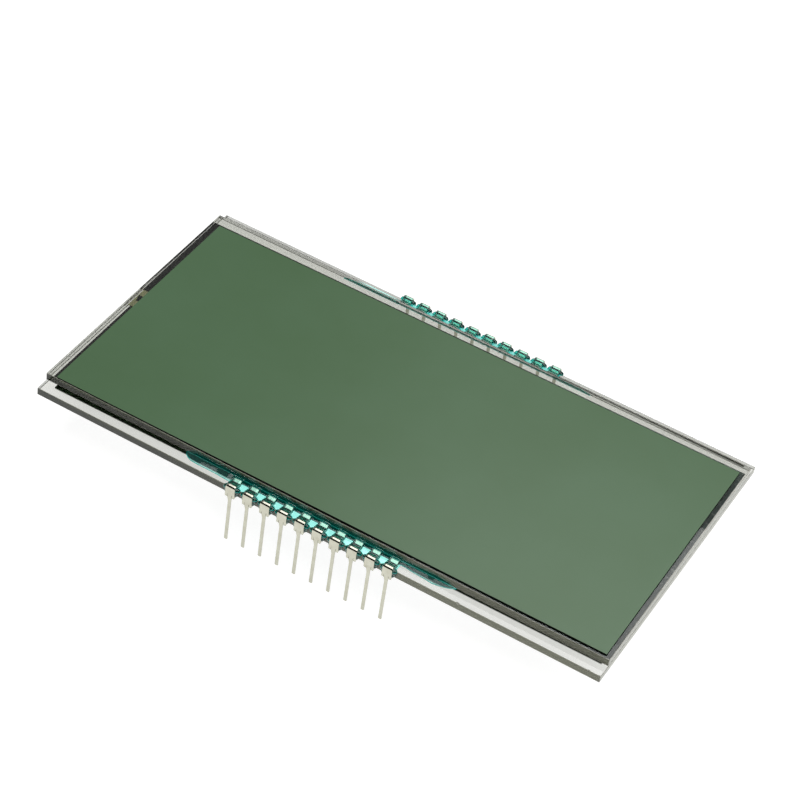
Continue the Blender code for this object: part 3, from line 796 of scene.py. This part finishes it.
bpy.ops.object.select_all(action="DESELECT")
bpy.ops.mesh.primitive_plane_add(
    size=1.0,
    location=(0, BODY_AT, (FORK_UP + SHOULDER[1]) / 2),
    rotation=(math.radians(90), 0, 0),
)
blank = bpy.context.object
blank.name = blank.data.name = "pin_blank"
blank.scale = (2 * BODY_HALF, SHOULDER[1] - FORK_UP, 1.0)
bpy.ops.object.transform_apply(location=True, rotation=True, scale=True)
bpy.ops.object.mode_set(mode="EDIT")
cut_across("X", -SLIT_AT, -LEG_HALF, LEG_HALF, SLIT_AT)
back_to_object()

pick(blank, "EDGE", lambda a, b: min(a.z, b.z) > SHOULDER[1] - TOLERANCE)
bend(SHOULDER, SHOULDER_TURN, FINGER_HALF / BODY_HALF)
run(FALL, FALL_SLOPE)
bend(CONTACT, CONTACT_TURN)
run(RISE, RISE_SLOPE)
back_to_object()


def on_fork(a, b, low, high):
    """True for an edge on the fork line between two places across."""
    level = max(a.z, b.z) < FORK_UP + TOLERANCE
    return level and low - TOLERANCE < min(a.x, b.x) and max(a.x, b.x) < high + TOLERANCE


pick(blank, "EDGE", lambda a, b: on_fork(a, b, -LEG_HALF, LEG_HALF))
run(FORK_UP - LEG_STEP_UP, math.radians(-90))
bpy.ops.mesh.extrude_region_move(
    TRANSFORM_OT_translate={"value": (0, LEG_AT - BODY_AT, LEG_STRAIGHT_UP - LEG_STEP_UP)}
)
bpy.ops.transform.resize(value=(LEG_TIP_HALF / LEG_HALF, 1, 1), center_override=(0, 0, 0))
run(LEG_STRAIGHT_UP - LEG_TIP_UP, math.radians(-90))
back_to_object()

for side in (-1, 1):
    near, far = sorted((side * SLIT_AT, side * BODY_HALF))
    pick(blank, "EDGE", lambda a, b: on_fork(a, b, near, far))
    run(FORK_UP - HOOK[1], math.radians(-90))
    bend(HOOK, math.radians(HOOK_TURN), HOOK_WAIST**0.5, side * HOOK_ABOUT)
    run(HOOK_RUN, math.radians(HOOK_SLOPE), HOOK_WAIST**0.25, side * HOOK_ABOUT)
    bend(PAD, math.radians(PAD_TURN))
    run(FLARE, math.radians(FLARE_SLOPE), HOOK_WAIST**0.25, side * HOOK_ABOUT)
    back_to_object()

low = [min(v.co[i] for v in blank.data.vertices) / MM for i in range(3)]
high = [max(v.co[i] for v in blank.data.vertices) / MM for i in range(3)]
print("blank from", [round(v, 3) for v in low], "to", [round(v, 3) for v in high])

# %% [markdown]
# The folded surface then gets its metal, half to each side, and the stamping die's soft rims.
# The wide bevel-free faces keep their own direction when the normals are weighted by area, so
# the body stays flat to the light and the bends stay round.

# %% Metal and rims
only(blank)
bpy.ops.object.mode_set(mode="EDIT")
bpy.ops.mesh.select_all(action="SELECT")
bpy.ops.mesh.remove_doubles(threshold=0.001 * MM)
bpy.ops.mesh.normals_make_consistent(inside=False)
back_to_object()
finish_with(blank, "SOLIDIFY", thickness=METAL, offset=0.0, use_even_offset=True)
finish_with(
    blank, "BEVEL", width=0.018 * MM, segments=2, limit_method="ANGLE", angle_limit=math.radians(50)
)
bpy.ops.object.shade_smooth()
finish_with(blank, "WEIGHTED_NORMAL", weight=60)
blank.data.materials.append(tin)
print("one pin has", len(blank.data.polygons), "faces")

# %% [markdown]
# Twenty copies go out, ten to each long edge, each with its own mesh. The back row is the front
# row turned half round, so one turn places it.

# %% Two rows of pins
PITCH, ROW_SHIFT, PINS = 2.54 * MM, 0.19 * MM, 10
ROW_ALONG = [(index - (PINS - 1) / 2) * PITCH for index in range(PINS)]
edge_low, edge_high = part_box("rear_glass")


def to_row(piece, side, along=0.0):
    """Carry the active piece from where it was built to its edge of the glass."""
    if side == "front":
        piece.location = (ROW_SHIFT + along, edge_low[1], edge_low[2])
    else:
        piece.location = (-ROW_SHIFT + along, edge_high[1], edge_low[2])
        piece.rotation_euler = (0, 0, math.pi)
    bpy.ops.object.transform_apply(location=True, rotation=True, scale=True)


worst = 0.0
for side in ("front", "back"):
    for number, along in enumerate(ROW_ALONG, start=1):
        only(blank)
        bpy.ops.object.duplicate()
        pin = bpy.context.object
        pin.name = pin.data.name = f"{side}_pin_{number:02d}"
        to_row(pin, side, along)
        node = f"pin_{side}_{number:02d}"
        node_low, node_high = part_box(node)
        own = [[f(v.co[i] for v in pin.data.vertices) for i in range(3)] for f in (min, max)]
        gap = max(abs(a - b) for a, b in zip((*own[0], *own[1]), (*node_low, *node_high)))
        worst = max(worst, gap)
        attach(pin, "root")
        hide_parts(node)
print("20 pins, furthest from the frame's by", round(worst / MM, 4), "mm")

# %% [markdown]
# Teal resin holds the pins. It was drawn on as a liquid, so its shape is that of a liquid: it
# fills the fold of each finger, stands as a column on both sides of the body where the body
# hangs off the glass, lies in a hollow curve along the front glass and runs out thin past the
# row. Between the fingers only a thin skin of it is left on the ledge, and there the light table
# shines through it, helped by a painted glow: the gaps are the brightest cyan of the whole display.

# %% Teal resin
# Light-cured acrylic, dyed teal: clear and glossy, deep green-blue where it is thick. A trace of
# painted glow keeps its darkest places teal.
resin, shader = new_material(
    "teal_resin",
    Base_Color=linear("#FFFFFF"),
    IOR=1.5,
    Transmission_Weight=1.0,
    Emission_Color=linear("#00FFF1"),
)
# Painted glow: the thin skin just over the ledge, at 8.8 mm, is made to glow for the light that
# the glass under it carries. The deeper resin gets only a trace of painted glow.
PAINTED_SKIN_GLOW, PAINTED_DEEP_GLOW = 0.32, 0.018
height = object_place(resin, "Z")
painted_glow_over_ledge = between(resin, height, 0.0, 1.0, start=8.785 * MM, end=8.797 * MM)
painted_glow_fade = between(resin, height, PAINTED_SKIN_GLOW, 0.0, start=8.82 * MM, end=8.87 * MM)
painted_glow = add_node(
    resin,
    "ShaderNodeMath",
    settings={"operation": "MULTIPLY_ADD"},
    values={2: PAINTED_DEEP_GLOW},
    links={0: painted_glow_over_ledge, 1: painted_glow_fade},
)
feed(resin, painted_glow.outputs["Value"], shader, "Emission Strength")
skin = noise(resin, 0.7 * MM, detail=2.0)
feed(resin, between(resin, skin, 0.0, 0.06), shader, "Roughness")
feed(resin, bump(resin, skin, 0.1, 0.02 * MM), shader, "Normal")
# Per millimetre: 4.8 of red, 1.25 of green and 1.55 of blue are swallowed.
RESIN_TINT, RESIN_DENSITY = (0.0, 0.74, 0.677, 1.0), 4800.0
tint_volume(resin, RESIN_TINT, RESIN_DENSITY)

# %% [markdown]
# Each bead is put together roughly from what the liquid touches: the metal swollen by the
# thickness of the skin on it, blocks for what fills the folds, flattened balls for the columns
# and hollow wedges along the glass. All of it bites into the glass a little. A voxel remesh then
# makes one skin of it, and smoothing rounds that as surface tension does. It is built in the
# places of the front row and turned half round for the back row.

# %% Resin on one row
SKIN, VOXEL = 0.09 * MM, 0.05 * MM
LEDGE_UP, LEDGE_IN, BITE = 1.1 * MM, 1.9 * MM, 0.08 * MM
COLUMN_AT, COLUMN_RADII = (0.72, -0.16, 0.66), (0.27, 0.28, 0.62)
BALL_AT, BALL_RADII = (0.78, -0.10, 1.0), (0.42, 0.38, 0.42)
# The resin wets a pin from these places on: up from the plate's underside and in from its edge.
WET_UP, WET_IN = 0.13 * MM, -0.15 * MM


def block_mm(name, low, high):
    """A box between two corners, given in millimetres."""
    return block(name, [v * MM for v in low], [v * MM for v in high])


def wetted_metal():
    """The inner part of one pin, swollen by the skin of resin on it."""
    only(blank)
    bpy.ops.object.duplicate()
    metal = bpy.context.object
    finish_with(metal, "DISPLACE", strength=SKIN, mid_level=0.0)
    cut_away(metal, (0, 0, WET_UP), (0, 0, -1))
    cut_away(metal, (0, WET_IN, 0), (0, -1, 0))
    return metal


def blob(side, at, radii):
    """A flattened ball of resin beside the body, on its left or its right."""
    bpy.ops.object.select_all(action="DESELECT")
    bpy.ops.mesh.primitive_uv_sphere_add(
        segments=32,
        ring_count=20,
        radius=1.0,
        location=(at[0] * side * MM, at[1] * MM, at[2] * MM),
        scale=[radius * MM for radius in radii],
    )
    return bpy.context.object


def resin_at_pin(along):
    """All that the liquid fills round one pin, as one rough mesh at its place in the row."""
    parts = [
        wetted_metal(),
        block_mm("fold", (-0.62, 0.1, 1.04), (0.62, 1.0, 1.5)),
        block_mm("under_fall", (-0.62, -0.34, 1.04), (0.62, 0.5, 1.42)),
        block_mm("under_rise", (-0.62, 0.5, 1.04), (0.62, 1.94, 1.4)),
        block_mm("end", (-0.62, 1.15, 1.04), (0.62, 1.94, 1.52)),
        block_mm("over_fall", (-0.64, -0.06, 1.3), (0.64, 0.5, 1.77)),
        block_mm("behind_body", (-0.69, -0.44, 0.06), (0.69, 0.06, 1.3)),
        blob(-1, COLUMN_AT, COLUMN_RADII),
        blob(1, COLUMN_AT, COLUMN_RADII),
        blob(-1, BALL_AT, BALL_RADII),
        blob(1, BALL_AT, BALL_RADII),
    ]
    only(*parts)
    bpy.ops.object.join()
    bpy.context.object.location = (along, 0, 0)
    bpy.ops.object.transform_apply(location=True, rotation=True, scale=True)
    return bpy.context.object


# %% [markdown]
# A hollow wedge is a block whose outer upper edge is bevelled with a profile well under a
# half, which makes the bevel sink in. It is cut across at a few stations, and each of them is
# shrunk towards the corner of the glass, so that a tail swells and then closes in a round end.

# %% Hollow wedges and tails


def hollow_wedge(stations, climb, profile):
    """A wedge of liquid in the corner of ledge and front glass.

    Each station is a place along the row and how far out the wedge lies on the ledge there.
    """
    widest = max(reach for _, reach in stations)
    bite = BITE / MM
    wedge = block_mm("wedge", (stations[0][0], -1.0, -0.1), (stations[-1][0], bite, 1.0))
    pick(wedge, "EDGE", lambda a, b: max(a.y, b.y) < -0.9 * MM and min(a.z, b.z) > 0.9 * MM)
    bpy.ops.mesh.bevel(offset=0.97 * MM, segments=8, profile=profile, affect="EDGES")
    cut_across("X", *[along * MM for along, _ in stations[1:-1]])
    back_to_object()
    for along, reach in stations:
        full = (reach + bite) / (widest + bite)
        pick(wedge, "VERT", lambda co, normal: abs(co.x / MM - along) < 0.001)
        bpy.ops.transform.resize(value=(1, full, full), center_override=(0, BITE, 0))
        back_to_object()
    wedge.scale = (1.0, widest, climb)
    wedge.location = (0, LEDGE_IN, LEDGE_UP)
    bpy.ops.object.transform_apply(location=True, rotation=True, scale=True)
    return wedge


def resin_bead(side, left_tail, right_tail, reach, climb, profile):
    """One bead of resin along a row, with its two tails; reach and climb are in millimetres."""
    half_row = ROW_ALONG[-1] / MM
    parts = [resin_at_pin(along) for along in ROW_ALONG]
    parts.append(
        hollow_wedge([(-half_row - 0.8, reach), (half_row + 0.8, reach)], climb, profile)
    )
    parts.append(hollow_wedge(left_tail, climb, profile))
    parts.append(hollow_wedge(right_tail, climb, profile))
    parts.append(block_mm("skin", (-half_row - 0.9, 0.1, 1.0), (half_row + 0.9, 1.9, 1.112)))
    only(*parts)
    bpy.ops.object.join()
    bead = bpy.context.object
    bead.name = bead.data.name = f"resin_bead_{side}"
    finish_with(bead, "REMESH", mode="VOXEL", voxel_size=VOXEL)
    finish_with(bead, "SMOOTH", factor=0.5, iterations=6)
    to_row(bead, side)
    bpy.ops.object.shade_smooth()
    bead.data.materials.clear()
    bead.data.materials.append(resin)
    hand_over(bead, "resin", f"resin_{side}")


# %% [markdown]
# The tails differ: the photograph shows how far each runs and how wide it lies on the ledge.

# %% Two beads of resin
# Stations of the tails, in millimetres: along the row, and how far out on the ledge.
FRONT_LEFT = [
    (-19.5, 0.05), (-19.3, 0.5), (-18.9, 0.8), (-18.2, 1.08), (-17.0, 1.14), (-14.5, 1.12),
    (-12.9, 1.22), (-12.0, 1.2),
]
FRONT_RIGHT = [
    (12.0, 0.62), (12.9, 0.68), (14.2, 0.8), (16.0, 0.9), (16.9, 1.02), (17.8, 0.84),
    (18.7, 0.62), (19.4, 0.3), (19.8, 0.05),
]
BACK_LEFT = [
    (-17.6, 0.05), (-17.4, 0.5), (-16.9, 0.85), (-16.0, 1.15), (-14.5, 1.25), (-12.0, 1.2),
]
BACK_RIGHT = [
    (12.0, 1.3), (14.0, 1.4), (17.0, 1.45), (19.0, 1.3), (20.0, 0.95), (20.4, 0.6), (20.6, 0.05),
]
resin_bead("front", FRONT_LEFT, FRONT_RIGHT, reach=0.72, climb=0.7, profile=0.18)
resin_bead("back", BACK_LEFT, BACK_RIGHT, reach=0.5, climb=0.5, profile=0.07)
bpy.data.objects.remove(blank, do_unlink=True)

# %% [markdown]
# The photograph was taken over a light table: the ground is white by its own light and the clear
# ledges glow. A large softbox hangs overhead, a little to the right. Its left and far edges are
# placed so that the film mirrors it at the near right and misses it at the far left. A black
# flag leans up to its near edge from the front left, only to draw the dark line along the
# shoulders of the pins, as dark studio walls do.

# %% Floor and light
bpy.ops.object.select_all(action="DESELECT")
bpy.ops.mesh.primitive_plane_add(size=6.0)
floor = bpy.context.object
floor.name = "studio_floor"
# Opal acrylic sheet, lit from below: dull white, bright by itself.
table, shader = new_material(
    "opal_light_table",
    Base_Color=linear("#959595"),
    Roughness=0.9,
    Emission_Color=linear("#FFFFFF"),
    Emission_Strength=0.86,
)
floor.data.materials.append(table)

FLAG_AT, FLAG_LEAN, FLAG_SIZE = (-0.22, -0.555, 0.29), math.radians(56.1), (0.62, 0.69, 1.0)
bpy.ops.mesh.primitive_plane_add(size=1.0, location=FLAG_AT, rotation=(FLAG_LEAN, 0, 0))
flag = bpy.context.object
flag.name = "black_flag"
flag.scale = FLAG_SIZE
flag.visible_camera = False
# Black velvet: no shine at all.
velvet, shader = new_material(
    "black_velvet", Base_Color=linear("#0D0D0D"), Roughness=1.0, Specular_IOR_Level=0.0
)
flag.data.materials.append(velvet)

world = bpy.data.worlds.new("studio_world")
bpy.context.scene.world = world
world.use_nodes = True
background = world.node_tree.nodes["Background"]
background.inputs["Color"].default_value = linear("#FFFFFF")
background.inputs["Strength"].default_value = 0.3

# The softbox, in metres and watts: an area light looks straight down as it is added.
SOFTBOX_AT, SOFTBOX_WIDTH, SOFTBOX_DEPTH, SOFTBOX_WATTS = (0.36, 0.115, 0.6), 1.2, 0.97, 7.7
bpy.ops.object.light_add(type="AREA", location=SOFTBOX_AT)
softbox = bpy.context.object
softbox.name = "top_softbox"
softbox.data.shape = "RECTANGLE"
softbox.data.size, softbox.data.size_y = SOFTBOX_WIDTH, SOFTBOX_DEPTH
softbox.data.energy = SOFTBOX_WATTS

bpy.context.scene.view_settings.view_transform = "Standard"
print("softbox", SOFTBOX_WIDTH, "by", SOFTBOX_DEPTH, "m; flag", FLAG_SIZE[:2], "m")
